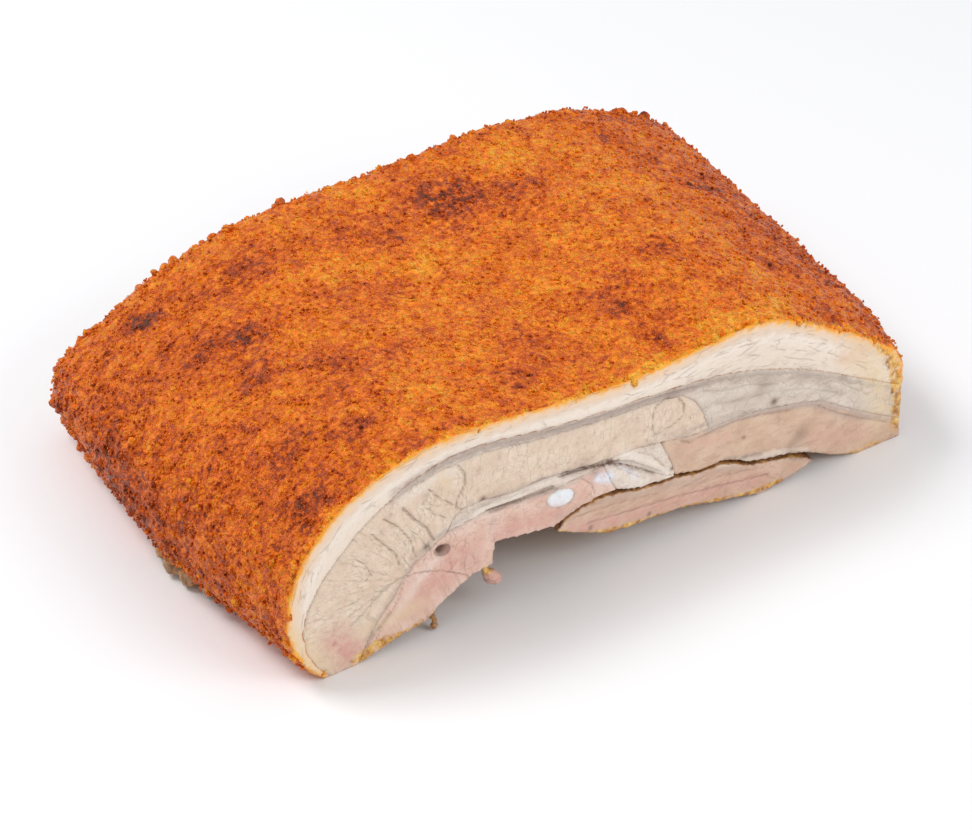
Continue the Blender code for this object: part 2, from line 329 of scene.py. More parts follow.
def brushed(places, strokes):
    """How strongly a tint's strokes reach each place."""
    total = np.zeros(len(places))
    for width, strength, points in strokes:
        away, _ = distance_to(on_cut(points), places[:, [0, 2]])
        total = np.maximum(total, strength * np.exp(-(away / (width * MM / 2)) ** 2))
    return total


# %% One layer, with fine faces where it shows
def gap_to_others(node, places):
    """The distance from each place to the nearest other layer."""
    return np.min([distances(tree, places) for other, tree in TREES.items() if other != node], axis=0)


def fine_layer(node, name, face_size, above=None):
    """A layer with small faces on what shows, and the attributes that its material reads."""
    piece = welded_copy(node, name)
    apply_modifier(piece, "REMESH", mode="VOXEL", voxel_size=face_size, use_smooth_shade=True)
    places = points_of(piece)
    depth = places[:, 1] - FRONT
    hidden = (gap_to_others(node, places) < 0.55 * MM) & (depth > 1.6 * MM) & (BACK - places[:, 1] > 1.6 * MM)
    group = piece.vertex_groups.new(name="hidden")
    group.add([int(i) for i in np.nonzero(hidden)[0]], 1.0, "REPLACE")
    apply_modifier(piece, "DECIMATE", ratio=1 - 0.94 * hidden.mean(), vertex_group="hidden")

    places = points_of(piece)
    gap = gap_to_others(node, places)
    depth = places[:, 1] - FRONT
    below, along = distance_to(LINE, places[:, [0, 2]])
    keep(piece, "strata", np.column_stack([along, depth, below]))
    keep(piece, "under", distances(TREES[above], places) if above else below)
    roasted = places[(gap > 0.7 * MM) & (depth > 0.3 * MM)]
    hot = KDTree(len(roasted) + 1)
    for number, place in enumerate([*roasted, (0, 0,
                                               9)]):  # the far place serves a layer with nothing roasted
        hot.insert(place, number)
    hot.balance()
    reach = np.array([hot.find(place)[2] for place in places])
    keep(piece, "browning", np.exp(-reach / (0.8 * MM)))
    keep(piece, "seam", soft_step(0.9 * MM, 0.3 * MM, gap))
    for tint, strokes in TINTS.items():
        keep(piece, tint, brushed(places, strokes) * soft_step(3 * MM, 1.5 * MM, depth))
    touching = soft_step(1.2 * MM, 0.4 * MM, gap)
    places += normals_of(piece) * [1, 0, 1] * (0.25 * MM * touching)[:, None]
    move_points(piece, places)
    print(name, len(piece.data.polygons), "faces,", int(hidden.sum()), "points were hidden")
    return piece


def settle_in(piece, node):
    """Hangs the piece on the root body, and hides the packed layer whose place it takes."""
    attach(piece, "root")
    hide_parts(node)


# %% [markdown]
# ## Paint
# A finish is a tree of nodes: patterns feed colours, and the same patterns feed a Bump node, so that a dark
# crack is also a groove. The helpers below add one node each. Sizes are in millimetres of the real thing,
# which keeps the grain right at any zoom.


# %% Node helpers
class Paint:
    """One material and the nodes in it."""

    def __init__(self, name, roughness):
        self.material = bpy.data.materials.new(name)
        self.material.use_nodes = True
        self.tree = self.material.node_tree
        self.shader = self.tree.nodes["Principled BSDF"]
        self.shader.inputs["Roughness"].default_value = roughness
        self.place = self.node("ShaderNodeTexCoord").outputs["Object"]

    def node(self, kind, inputs=None, **settings):
        made = self.tree.nodes.new(kind)
        for key, value in settings.items():
            setattr(made, key, value)
        for key, value in (inputs or {}).items():
            if isinstance(value, bpy.types.NodeSocket):
                self.tree.links.new(value, made.inputs[key])
            else:
                made.inputs[key].default_value = value
        return made

    def known(self, name, output="Fac"):
        """What the points of the piece know under a name."""
        return self.node("ShaderNodeAttribute", attribute_name=name).outputs[output]

    def noise(self, size, place=None, detail=3, rough=0.5, twist=0.0):
        """Clouds of a size in mm."""
        return self.node("ShaderNodeTexNoise", {"Vector": place or self.place, "Scale": 1000 / size,
                                                "Detail": detail,
                                                "Roughness": rough, "Distortion": twist}).outputs["Fac"]

    def cells(self, size, place=None, feature="F1", output="Distance"):
        """Cells of a size in mm; DISTANCE_TO_EDGE gives the lines between them."""
        return self.node("ShaderNodeTexVoronoi", {"Vector": place or self.place, "Scale": 1000 / size},
                         feature=feature).outputs[output]

    def sum(self, *values):
        total = values[0]
        for value in values[1:]:
            total = self.node("ShaderNodeMath", {0: total, 1: value}, operation="ADD").outputs[0]
        return total

    def times(self, first, second):
        return self.node("ShaderNodeMath", {0: first, 1: second}, operation="MULTIPLY").outputs[0]

    def span(self, value, low, high, to_low=0.0, to_high=1.0, soft=True):
        """A value between low and high, spread over a new range and clamped to it."""
        made = self.node("ShaderNodeMapRange", {"Value": value, "From Min": low, "From Max": high,
                                                "To Min": to_low,
                                                "To Max": to_high})
        made.interpolation_type = "SMOOTHSTEP" if soft else "LINEAR"
        return made.outputs["Result"]

    def blend(self, share, first, second):
        """From the first colour to the second as share goes from 0 to 1."""
        made = self.node("ShaderNodeMix", data_type="RGBA")
        for socket, value in ((made.inputs[0], share), (made.inputs[6], first), (made.inputs[7], second)):
            if isinstance(value, bpy.types.NodeSocket):
                self.tree.links.new(value, socket)
            else:
                socket.default_value = (*value, 1) if isinstance(value, tuple) else value
        return made.outputs[2]

    def scale(self, *stops):
        """A function from a value to a scale of colours, given as (position, colour)."""
        made = self.node("ShaderNodeValToRGB")
        for number, (position, colour) in enumerate(stops):
            entries = made.color_ramp.elements
            entry = entries[number] if number < 2 else entries.new(position)
            entry.position = position
            entry.color = (*colour, 1)
        return made

    def coloured(self, value, *stops):
        made = self.scale(*stops)
        self.tree.links.new(value, made.inputs["Fac"])
        return made.outputs["Color"]

    def stretched(self, place, shares):
        return self.node("ShaderNodeVectorMath", {0: place, 1: shares}, operation="MULTIPLY").outputs[0]

    def bent(self, place, size, reach):
        """The place, pushed about by clouds, so that what follows it wavers."""
        clouds = self.node("ShaderNodeTexNoise", {"Vector": place, "Scale": 1000 / size,
                                                  "Detail": 2}).outputs["Color"]
        centred = self.node("ShaderNodeVectorMath", {0: clouds, 1: (-0.5, -0.5, -0.5)},
                            operation="ADD").outputs[0]
        pushed = self.node("ShaderNodeVectorMath", {0: centred, 1: (reach * MM,) * 3}, operation="MULTIPLY")
        return self.node("ShaderNodeVectorMath", {0: place, 1: pushed.outputs[0]}, operation="ADD").outputs[0]

    def bump(self, height, depth, onto=None):
        """Relief of a depth in mm from a height between 0 and 1."""
        inputs = {"Height": height, "Distance": depth * MM, "Strength": 1.0}
        if onto:
            inputs["Normal"] = onto
        return self.node("ShaderNodeBump", inputs).outputs["Normal"]

    def tinted(self, colour):
        """The strokes that cross all the layers, with ragged edges."""
        ragged = self.span(self.noise(1.5, detail=4, rough=0.65), 0.3, 0.7, 0.45, 1.35)
        # The clear tint is whitish cartilage with a painted highlight at its brightest oval.
        # The dark tint is painted shade in the gaps between layers.
        tints = {"rosy": (0.70, 0.36, 0.30), "pale": (0.88, 0.78, 0.68), "honey": (0.80, 0.61, 0.38),
                 "grey": (0.45, 0.335, 0.28), "clear": (0.83, 0.86, 0.95), "dark": (0.16, 0.085, 0.055)}
        for name, tint in tints.items():
            colour = self.blend(self.times(self.known(name), ragged), colour, tint)
        oven = self.coloured(self.noise(2.2, detail=4, rough=0.65), (0.34, (0.30, 0.12, 0.035)),
                             (0.46, (0.58, 0.27, 0.06)), (0.56, (0.80, 0.48, 0.12)),
                             (0.70, (0.90, 0.66, 0.28)))
        return self.blend(self.span(self.times(self.known("amber"), ragged), 0.25, 0.8), colour, oven)

    def finish(self, piece, colour, normal, roughness=None):
        self.tree.links.new(colour, self.shader.inputs["Base Color"])
        self.tree.links.new(normal, self.shader.inputs["Normal"])
        if roughness:
            self.tree.links.new(roughness, self.shader.inputs["Roughness"])
        piece.data.materials.clear()
        piece.data.materials.append(self.material)


# %% [markdown]
# ## The crackling
# Roasted rind is a glassy orange crust of grains less than a millimetre across. Heat isn't even: hollows
# stay golden, and what stood proud is scorched to maroon. The fine piece gets slow waves and blisters as
# real relief, from Displace modifiers that push the points by a procedural texture. The finest grain is in
# the material. Which places are scorched or golden is known per point, as soft discs given by their middle,
# radius and strength.

# %% Where the heat was strong and where it was weak
SCORCHED = ((12, 36, 9, 0.9), (5, 31, 5, 0.6), (-72, 42, 4, 1.1), (-61, -42, 4, 1.0), (-21, -46, 6, 0.8),
            (38, -20, 7, 0.75), (15, -50, 6, 0.8), (15, -34, 5, 0.6), (62, 38, 3, 0.8), (24, 25, 8, 0.45),
            (31, 25, 3, 0.6), (-75, -33, 5, 0.8), (-50, -14, 5, 0.6), (-67, -6, 5, 0.55), (-64, 15, 9, 0.55),
            (-45, 38, 8, 0.5), (-38, 28, 4, 0.5), (-12, 27, 7, 0.5), (5, 20, 5, 0.5), (5, 52, 4, 0.5),
            (72, 10, 7, 0.5), (22, -26, 3, 0.7), (-8, -33, 5, 0.45), (-60, 8, 6, 0.5), (40, 0, 4, 0.3),
            (-79, -50, 4, 0.6), (-30, -55, 3, 0.4), (62, -30, 6, 0.35))  # x, y, radius in mm, strength
GOLDEN = ((36, 42, 12, 0.8), (30, -2, 11, 0.75), (-10, 11, 6, 0.8), (-43, -2, 7, 0.7), (-30, 20, 9, 0.45),
          (-12, -21, 9, 0.4), (31, -54, 9, 1.6), (46, -53, 5, 1.4), (8, -57, 4, 1.0), (50, -33, 7, 0.6),
          (5, 57, 12, 0.6), (-35, 50, 9, 0.4), (25, -15, 8, 0.4), (-45, -45, 12, 0.3), (-10, 55, 8, 0.5),
          (48, 12, 10, 0.35), (-66, 28, 4, 0.4))


def discs(places, table):
    """The sum of soft discs at each place, seen from above."""
    total = np.zeros(len(places))
    for x, y, radius, strength in table:
        away = np.hypot(places[:, 0] - x * MM, places[:, 1] - y * MM)
        total += strength * np.exp(-(away / (radius * MM)) ** 2)
    return total


# %% The rind piece
rind = fine_layer("rind_and_fat", "crackling_and_fat", 0.66 * MM)
places = points_of(rind)
normals = normals_of(rind)
cut = soft_step(0.45, 0.85, -normals[:, 1]) * (places[:, 1] < FRONT + 1.5 * MM)
keep(rind, "cut", cut)
keep(rind, "scorch", discs(places, SCORCHED))
keep(rind, "gold", discs(places, GOLDEN))


def texture(name, kind, size, **settings):
    """A procedural pattern of a size in mm, for a Displace modifier."""
    made = bpy.data.textures.new(name, kind)
    made.noise_scale = size * MM
    for key, value in settings.items():
        setattr(made, key, value)
    return made


crust = rind.vertex_groups.new(name="crust")
weights = np.clip(soft_step(0.55, 0.98, recall(rind, "browning")) * (1 - cut), 0, 1)
for level in range(1, 11):
    chosen = np.nonzero(np.round(weights * 10) == level)[0]
    crust.add([int(i) for i in chosen], level / 10, "REPLACE")
waves = texture("waves", "CLOUDS", 11, noise_depth=2)
blisters = texture("blisters", "VORONOI", 3.2, distance_metric="DISTANCE_SQUARED")
lumps = texture("lumps", "CLOUDS", 1.5, noise_depth=3)
for pattern, strength, middle in ((waves, 1.5, 0.5), (blisters, -0.55, 0.3), (lumps, 1.1, 0.5)):
    apply_modifier(rind, "DISPLACE", texture=pattern, strength=strength * MM, mid_level=middle,
                   vertex_group="crust", texture_coords="LOCAL")
settle_in(rind, "rind_and_fat")
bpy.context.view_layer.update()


# %% The rind's finish
def crackling_finish(pieces):
    """Orange glassy grains. Cut across, the rind shows its thin crust, then a peach blush, then cream fat."""
    p = Paint("crackling_orange", 0.3)
    p.shader.inputs["Specular Tint"].default_value = (1.0, 0.78, 0.55, 1)
    wavering = p.bent(p.place, 1.6, 0.9)
    heat = p.sum(0.615, p.span(p.noise(15, detail=2), 0.3, 0.7, -0.08, 0.08),
                 p.span(p.noise(4.2, wavering, detail=4, rough=0.62), 0.3, 0.7, -0.11, 0.11),
                 p.span(p.noise(1.5, detail=3, rough=0.6), 0.3, 0.7, -0.14, 0.14))
    ragged = p.span(p.noise(2.4, wavering, detail=5, rough=0.7), 0.32, 0.68, 0.1, 1.5)
    heat = p.sum(heat, p.times(p.times(p.known("scorch"), ragged), -0.38),
                 p.times(p.times(p.known("gold"), ragged), 0.2))
    x = p.node("ShaderNodeSeparateXYZ", {0: p.place}).outputs
    heat = p.sum(heat, p.span(x[0], -95 * MM, -10 * MM, -0.07, 0.0),
                 p.span(x[0], 55 * MM, 92 * MM, 0.0, -0.12),
                 p.span(x[0], -98 * MM, -89 * MM, -0.14, 0.0))
    strata = p.node("ShaderNodeSeparateXYZ", {0: p.known("strata", "Vector")}).outputs
    edge_reach = p.times(p.span(p.noise(4.5, detail=3), 0.32, 0.68, 0.6, 6.5), MM)
    near_cut = p.node("ShaderNodeMath", {0: strata[1], 1: edge_reach}, operation="DIVIDE").outputs[0]
    near_cut = p.span(near_cut, 0.1, 1.0, 1.0, 0.0)
    heat = p.sum(heat, p.times(near_cut, 0.2))
    around = p.bent(p.place, 1.1, 0.35)
    grains = p.cells(0.85, around)
    own = p.node("ShaderNodeSeparateXYZ", {0: p.cells(0.85, around, output="Color")}).outputs[0]
    # Each grain gets a tone of its own, and the crevices between grains are painted darker: painted shade in
    # the crevices.
    heat = p.sum(heat, p.span(own, 0, 1, -0.1, 0.1, soft=False), p.span(grains, 0.3, 0.7, 0.02, -0.13))
    crusty = p.coloured(heat, (0.0, (0.11, 0.02, 0.010)), (0.2, (0.32, 0.04, 0.008)),
                        (0.36, (0.60, 0.085, 0.006)),
                        (0.50, (0.84, 0.155, 0.006)), (0.66, (0.95, 0.245, 0.008)),
                        (0.84, (0.98, 0.37, 0.015)),
                        (1.0, (1.0, 0.50, 0.05)))
    specks = p.span(p.cells(2.4, p.bent(p.place, 2, 1.0)), 0.0, 0.15, 1.0, 0.0)
    crusty = p.blend(p.times(specks, 0.6), crusty, (0.15, 0.03, 0.015))

    below = p.sum(strata[2], p.times(p.span(p.noise(2.2), 0.3, 0.7, -0.5, 0.5), MM))
    fat = p.coloured(p.span(below, 0, 12 * MM, 0, 1, soft=False), (0.0, (0.93, 0.36, 0.05)),
                     (0.06, (0.92, 0.52, 0.20)), (0.12, (0.89, 0.63, 0.42)), (0.24, (0.82, 0.66, 0.53)),
                     (0.36, (0.89, 0.79, 0.69)), (0.55, (0.85, 0.735, 0.62)), (1.0, (0.82, 0.70, 0.59)))
    bands = p.stretched(p.known("strata", "Vector"), (0.22, 0.5, 1.0))
    wisps = p.noise(1.0, p.bent(bands, 2.2, 0.7), detail=4, rough=0.6)
    fat = p.blend(p.span(wisps, 0.5, 0.75, 0, 0.4), fat, (0.68, 0.55, 0.45))
    slant = p.node("ShaderNodeMapping", {"Vector": p.place, "Rotation": (0, math.radians(-38), 0),
                                         "Scale": (0.25, 1, 1)}).outputs[0]
    threads = p.noise(0.8, p.bent(slant, 1.6, 0.5), detail=3)
    right_side = p.span(x[0], 5 * MM, 30 * MM)
    fat = p.blend(p.times(p.span(threads, 0.5, 0.7, 0, 0.5), right_side), fat, (0.62, 0.49, 0.41))
    crazed = p.span(p.cells(2.6, p.bent(bands, 2.0, 1.2), feature="DISTANCE_TO_EDGE"), 0.0, 0.05, 1.0, 0.0)
    crazed = p.times(crazed, p.span(p.noise(4), 0.45, 0.62, 0.0, 0.5))
    fat = p.blend(crazed, fat, (0.55, 0.43, 0.36))
    fat = p.tinted(fat)
    rim = p.sum(p.known("browning"), p.span(p.noise(1.2, detail=4), 0.3, 0.7, -0.3, 0.3),
                p.times(p.known("amber"), 0.3))
    crust_share = p.span(rim, 0.5, 0.75, 1.0, 0.0)
    colour = p.blend(p.times(p.known("cut"), crust_share), p.blend(p.times(p.known("cut"), 0.75), crusty,
                                                                   (0.93, 0.45, 0.05)), fat)

    grit = p.sum(p.span(grains, 0.0, 0.7, 1.0, 0.0), p.times(p.noise(0.4, detail=2), 0.6),
                 p.times(p.noise(2.0), 0.8))
    rough_normal = p.bump(grit, 0.6)
    fine_normal = p.bump(p.sum(wisps, p.times(threads, 0.5), p.times(crazed, -1.2),
                               p.times(p.noise(0.5), 0.4)), 0.2)
    normal = p.node("ShaderNodeMix", data_type="VECTOR")
    p.tree.links.new(p.known("cut"), normal.inputs[0])
    p.tree.links.new(rough_normal, normal.inputs[4])
    p.tree.links.new(fine_normal, normal.inputs[5])
    shine = p.sum(p.span(p.noise(2.5), 0.3, 0.7, 0.2, 0.4), p.times(p.known("cut"), 0.1))
    for piece in pieces:
        p.finish(piece, colour, normal.outputs[1], shine)


# %% [markdown]
# ### Grains and crumbs
# Loose grains stand on the crust and catch the light. Each is a small rounded lump with a turn and a size
# of its own, sunk a little into the surface. Coarser crumbs sit where the crust broke: along the back, at
# the steep end, and where the knife went through.


# %% Making many small lumps
def lump_shape(detail):
    """The points and faces of a ball."""
    mesh = bmesh.new()
    bmesh.ops.create_icosphere(mesh, subdivisions=detail, radius=1)
    shape = (np.array([vertex.co for vertex in mesh.verts]),
             np.array([[v.index for v in f.verts] for f in mesh.faces]))
    mesh.free()
    return shape


def scatter(name, chosen, sizes, rise, shape, chance, roughness=0.25):
    """One mesh of lumps on chosen (places, outward ways), each raised by a share of its size."""
    points, faces = shape
    places, ways = chosen
    turns, _ = np.linalg.qr(chance.normal(size=(len(places), 3, 3)))
    turns *= np.sign(np.linalg.det(turns))[:, None, None]
    stretch = sizes[:, None] * chance.uniform(0.65, 1.2, (len(places), 3))
    bumps = 1 + roughness * chance.uniform(-1, 1, (len(places), len(points), 1))
    own = (points[None] * bumps * stretch[:, None, :]) @ turns.transpose(0, 2, 1)
    own += (places + ways * (sizes * rise)[:, None])[:, None, :]
    own = own.reshape(-1, 3)
    own[:, 2] = np.maximum(own[:, 2], 0.02 * MM)
    own_faces = (faces[None] + len(points) * np.arange(len(places))[:, None, None]).reshape(-1, 3)
    mesh = bpy.data.meshes.new(name)
    mesh.from_pydata(own.tolist(), [], own_faces.tolist())
    mesh.shade_smooth()
    piece = bpy.data.objects.new(name, mesh)
    bpy.context.scene.collection.objects.link(piece)
    owner = np.repeat(np.arange(len(places)), len(points))
    for known in ("cut", "scorch", "gold", "browning", *TINTS):
        keep(piece, known, np.zeros(len(own)))
    keep(piece, "scorch", discs(own, SCORCHED) + chance.uniform(-0.15, 0.35, len(places))[owner])
    keep(piece, "gold", discs(own, GOLDEN) + chance.uniform(0, 0.5, len(places))[owner])
    keep(piece, "strata", np.column_stack([0 * owner, own[:, 1] - FRONT, 0 * owner]))
    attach(piece, "root")
    print(name, len(own_faces), "faces")
    return piece


def spread(places, ways, weights, count, chance):
    """Picks points on the crust at random, with a weight for each."""
    picked = chance.choice(len(places), size=count, replace=True, p=weights / weights.sum())
    return places[picked] + chance.normal(0, 0.25 * MM, (count, 3)), ways[picked]


# %% Grains on the crust and crumbs on its edges
GRAINS = 9700
CRUMBS = 640
chance = np.random.default_rng(11)
places = points_of(rind)
ways = normals_of(rind)
crusted = recall(rind, "browning") * (recall(rind, "cut") < 0.5) * (places[:, 2] > 1 * MM)
inside = np.minimum(places[:, 1] - FRONT, BACK - places[:, 1]) > 0.8 * MM
grain_sizes = chance.uniform(0.24, 0.52, GRAINS) * MM
grain_places = spread(places, ways, crusted * inside, GRAINS, chance)
grains = scatter("crackling_grains", grain_places, grain_sizes, 0.1, lump_shape(1), chance)
rim = crusted * (0.02 + 1.0 * (places[:, 1] > BACK - 5 * MM) * (places[:, 2] > 20 * MM)
                 + 0.8 * (places[:, 0] < -88 * MM) + 1.4 * (places[:, 1] < FRONT + 2.2 * MM)) * inside
crumb_sizes = chance.uniform(0.5, 1.0, CRUMBS) ** 2 * 1.5 * MM
crumb_places = spread(places, ways, rim, CRUMBS, chance)
crumbs = scatter("crackling_crumbs", crumb_places, crumb_sizes, -0.25, lump_shape(2), chance, 0.3)
keep(rind, "dark_spots", np.zeros(len(places)))
crackling_finish([rind, grains, crumbs])

# %% [markdown]
# ## The layers on the cut
# Cut meat shows the ends of its fibre bundles: pale islands with darker lines between them, stretched along
# the layer or across it. One recipe serves all the layers, with colours, bundle sizes and directions of
# their own. The main cracks are grooves in the mesh. They are drawn as lines in mm from the foot of the
# rind's line.


# %% Grooves in a cut face
def carve(piece, grooves):
    """Presses grooves, each (width, depth, points) in mm, into the cut face, and notes each point's depth."""
    places = points_of(piece)
    depth = places[:, 1] - FRONT
    facing = depth < 1.2 * MM
    total = np.zeros(len(places))
    for width, reach, points in grooves:
        away, _ = distance_to(on_cut(points), places[facing][:, [0, 2]])
        total[facing] = np.maximum(total[facing], reach * np.exp(-(away / (width * MM / 2)) ** 2))
    keep(piece, "groove", total)
    places[:, 1] += total * MM * (1 - soft_step(0.2 * MM, 1.2 * MM, depth))
    move_points(piece, places)


def dark_spots(piece, spots):
    """Notes round dark spots, each (x, z, radius, strength) in mm, on the cut face."""
    places = points_of(piece)
    total = np.zeros(len(places))
    for x, z, radius, strength in spots:
        centre = on_cut([(x, z)])[0]
        away = np.hypot(places[:, 0] - centre[0], places[:, 2] - centre[1])
        total += strength * np.exp(-(away / (radius * MM)) ** 2)
    keep(piece, "dark_spots", total * (places[:, 1] < FRONT + 2 * MM))


def roughen(piece, strength=0.28, size=2.4):
    """Slow unevenness all over a layer, as real relief."""
    pattern = texture(piece.name + "_relief", "CLOUDS", size, noise_depth=2)
    apply_modifier(piece, "DISPLACE", texture=pattern, strength=strength * MM, mid_level=0.5,
                   texture_coords="LOCAL")


# %% The meat recipe
def meat_finish(piece, name, pale, main, deep, fibre=(5, 1), bundle=3.4, bundle_way=(1, 1, 1), lines=0.5,
                under=None, shine=0.42, mottle=6, soft_border=(0.66, 0.54, 0.45), straight=False):
    """A moist cut surface: clouds of three colours, fibres along or across the layer, and bundle outlines."""
    p = Paint(name, shine)
    strata = p.place if straight else p.known("strata", "Vector")
    along_layer = p.bent(p.stretched(strata, (1 / fibre[0], 0.4, 1 / fibre[1])), 2.5, 0.6)
    threads = p.noise(0.8, along_layer, detail=4, rough=0.6)
    clouds = p.noise(mottle, detail=3)
    colour = p.blend(p.span(clouds, 0.32, 0.68), main, pale)
    colour = p.blend(p.span(threads, 0.48, 0.74, 0, 0.7), colour, deep)
    colour = p.blend(p.span(threads, 0.45, 0.25, 0, 0.7), colour, pale)
    fine = p.noise(0.55, detail=3, rough=0.7)
    colour = p.blend(p.span(fine, 0.5, 0.72, 0, 0.4), colour, deep)
    if under:
        value = p.sum(p.known("under"), p.times(p.span(p.noise(2.0), 0.3, 0.7, -0.4, 0.4), MM))
        veil = p.coloured(p.span(value, 0, 6 * MM, 0, 1, soft=False), *under)
        strength = p.span(value, under[-1][0] * 6 * MM * 0.6, under[-1][0] * 6 * MM, 0.8, 0.0)
        colour = p.blend(strength, colour, veil)
    colour = p.blend(p.times(p.known("seam"), p.span(p.noise(1.3, detail=3), 0.3, 0.7, 0.1, 0.85)), colour,
                     soft_border)
    islands = p.bent(p.stretched(strata, bundle_way), 2.2, 1.5)
    outlines = p.cells(bundle, islands, feature="DISTANCE_TO_EDGE")
    line = p.times(p.span(outlines, 0.0, 0.05, 1.0, 0.0), p.span(p.noise(4.5), 0.42, 0.62, 0.0, lines))
    fine_outlines = p.span(p.cells(bundle * 0.45, islands, feature="DISTANCE_TO_EDGE"), 0.0, 0.07, 1.0, 0.0)
    line = p.sum(line, p.times(fine_outlines, p.span(p.noise(3.0), 0.48, 0.66, 0.0, lines * 0.6)))
    # Grooves are painted darker by their depth: painted shade in the cracks. The bundle outlines are the
    # meat's own darker lines.
    groove = p.span(p.known("groove"), 0.06, 0.45)
    crease = p.node("ShaderNodeMath", {0: line, 1: groove}, operation="MAXIMUM").outputs[0]
    colour = p.blend(p.times(crease, 0.5), colour, tuple(c * 0.6 for c in deep))
    colour = p.tinted(colour)
    # Near-black round spots; the strongest, in the lower lean's carved pit, is painted shade in the hole.
    colour = p.blend(p.known("dark_spots"), colour, (0.13, 0.055, 0.035))
    oven = p.coloured(p.noise(3.2, detail=4, rough=0.65), (0.3, (0.13, 0.05, 0.02)),
                      (0.46, (0.32, 0.14, 0.045)),
                      (0.58, (0.58, 0.30, 0.09)), (0.72, (0.74, 0.48, 0.2)))
    reached = p.span(p.sum(p.known("browning"), p.span(p.noise(1.4), 0.3, 0.7, -0.22, 0.22)), 0.5, 1.0)
    colour = p.blend(reached, colour, oven)
    relief = p.sum(p.times(threads, 0.7), p.times(fine, 0.5), p.times(crease, -1.2))
    p.shader.inputs["Subsurface Weight"].default_value = 0.08
    p.shader.inputs["Subsurface Radius"].default_value = (1.0, 0.45, 0.3)
    p.shader.inputs["Subsurface Scale"].default_value = 1.5 * MM
    p.finish(piece, colour, p.bump(relief, 0.26), p.span(p.noise(1.8), 0.3, 0.7, shine - 0.12, shine + 0.1))


# %% [markdown]
# ### Streaky fat
# Right under the fat cap runs a thin dark seam. Towards the sloping end it opens into a wide band of grey and
# cream wisps.

# %% Streaky fat
streaky = fine_layer("streaky_fat", "streaky_fat_fine", 0.55 * MM, above="rind_and_fat")
carve(streaky, [(0.9, 0.35, [(60, 44), (75, 42.6), (88, 41.9), (97, 41), (104, 39.6)]),
                (0.7, 0.3, [(104, 38.3), (110, 36), (118, 34.6), (127, 31.4)]),
                (0.8, 0.3, [(108, 33), (116, 31), (125, 30), (136, 26.5), (146, 21.5)]),
                (0.6, 0.25, [(130, 32), (138, 29), (147, 24), (156, 17)])])
dark_spots(streaky, [(126, 26.8, 1.1, 0.9), (122, 33, 2.6, 0.25), (148, 26, 2.0, 0.3), (95, 41, 2.5, 0.3)])
roughen(streaky)
meat_finish(streaky, "fat_streaked", (0.80, 0.69, 0.58), (0.66, 0.55, 0.46), (0.45, 0.36, 0.30),
            fibre=(6, 1.1), straight=True,
            lines=0.3, under=((0.0, (0.78, 0.68, 0.58)), (0.07, (0.56, 0.47, 0.40)),
                              (0.22, (0.46, 0.38, 0.32)),
                               (0.4, (0.60, 0.50, 0.42))))
settle_in(streaky, "streaky_fat")

# %% [markdown]
# ### Upper lean
# The largest muscle, beige and firm. Where the slab bends, its bundles have opened into short cracks that
# point to the inside of the bend. A round lobe shows at its blunt end.

# %% Upper lean
upper = fine_layer("upper_lean", "upper_lean_fine", 0.55 * MM, above="streaky_fat")
carve(upper, [(0.55, 0.4, [(14, 35), (17, 31), (20, 27), (21, 23)]),
              (0.5, 0.4, [(17, 38), (21, 34), (24, 29), (25, 24)]),
              (0.6, 0.5, [(22, 39), (25, 34.5), (28, 31), (30, 26.5)]),
              (0.5, 0.35, [(27, 38), (30, 34), (33, 31.5)]),
              (0.5, 0.4, [(29, 41), (32, 37), (35, 34.5)]), (0.45, 0.35, [(9, 31), (12, 27.5), (14, 23)]),
              (0.7, 0.4, [(33, 45.6), (36.5, 44.5), (38.3, 41.5), (38.2, 38.5), (36.4, 35.5), (36, 33),
                          (38, 31.6), (42, 31)]),
              (0.45, 0.3, [(28, 37.6), (31, 35.6), (34.5, 34.6)]),
              (0.4, 0.25, [(11, 37), (14, 33.5), (16, 29)]),
              (0.4, 0.3, [(23, 33), (26, 29.5), (28, 25.5)]), (0.4, 0.25, [(19, 33), (21.5, 29), (22.5, 25)]),
              (0.6, 0.4, [(90.5, 31), (89.7, 35), (90.4, 38.8), (93.2, 40.5), (96.8, 39.6), (98.8, 36.6),
                          (98.5, 33.2),
                          (95, 31.6), (90.5, 31)]),
              (0.45, 0.25, [(93.5, 33), (95.5, 35), (95, 37.5)]),
              (0.45, 0.25, [(70, 31), (76, 33.5), (83, 37), (88, 40)]),
              (0.4, 0.2, [(54, 32), (57, 36), (58.5, 41)]), (0.4, 0.2, [(77, 32), (79, 35), (82, 37)]),
              (0.4, 0.2, [(46, 33), (47, 38), (45, 43)]), (0.5, 0.25, [(2, 8), (4, 14), (7, 20), (11, 26)]),
              (0.4, 0.2, [(101, 38), (103, 35), (102.5, 31), (104.5, 28)])])
dark_spots(upper, [(43, 32.6, 1.0, 0.9), (28, 25.5, 0.8, 0.8), (28, 40, 0.9, 0.25), (16.5, 34.5, 0.8, 0.25),
              (19, 38.5, 0.7, 0.25), (47, 31.9, 2.0, 0.2), (70, 31, 2.5, 0.25)])
roughen(upper, 0.3)
meat_finish(upper, "lean_beige", (0.84, 0.68, 0.53), (0.755, 0.58, 0.44), (0.57, 0.42, 0.32),
            fibre=(2.2, 2.6),
            bundle=3.0, bundle_way=(1.5, 1, 0.75), lines=0.26, mottle=4.5)
settle_in(upper, "upper_lean")

# %% [markdown]
# ### Tendon sheet, lower lean and gristle
# Between the two lean muscles lies a thin cream sheet, which widens to a white wedge on the right. Below it
# the meat is pink, with a roasted skin underneath, and it ends in translucent gristle and the tips of two
# ribs.

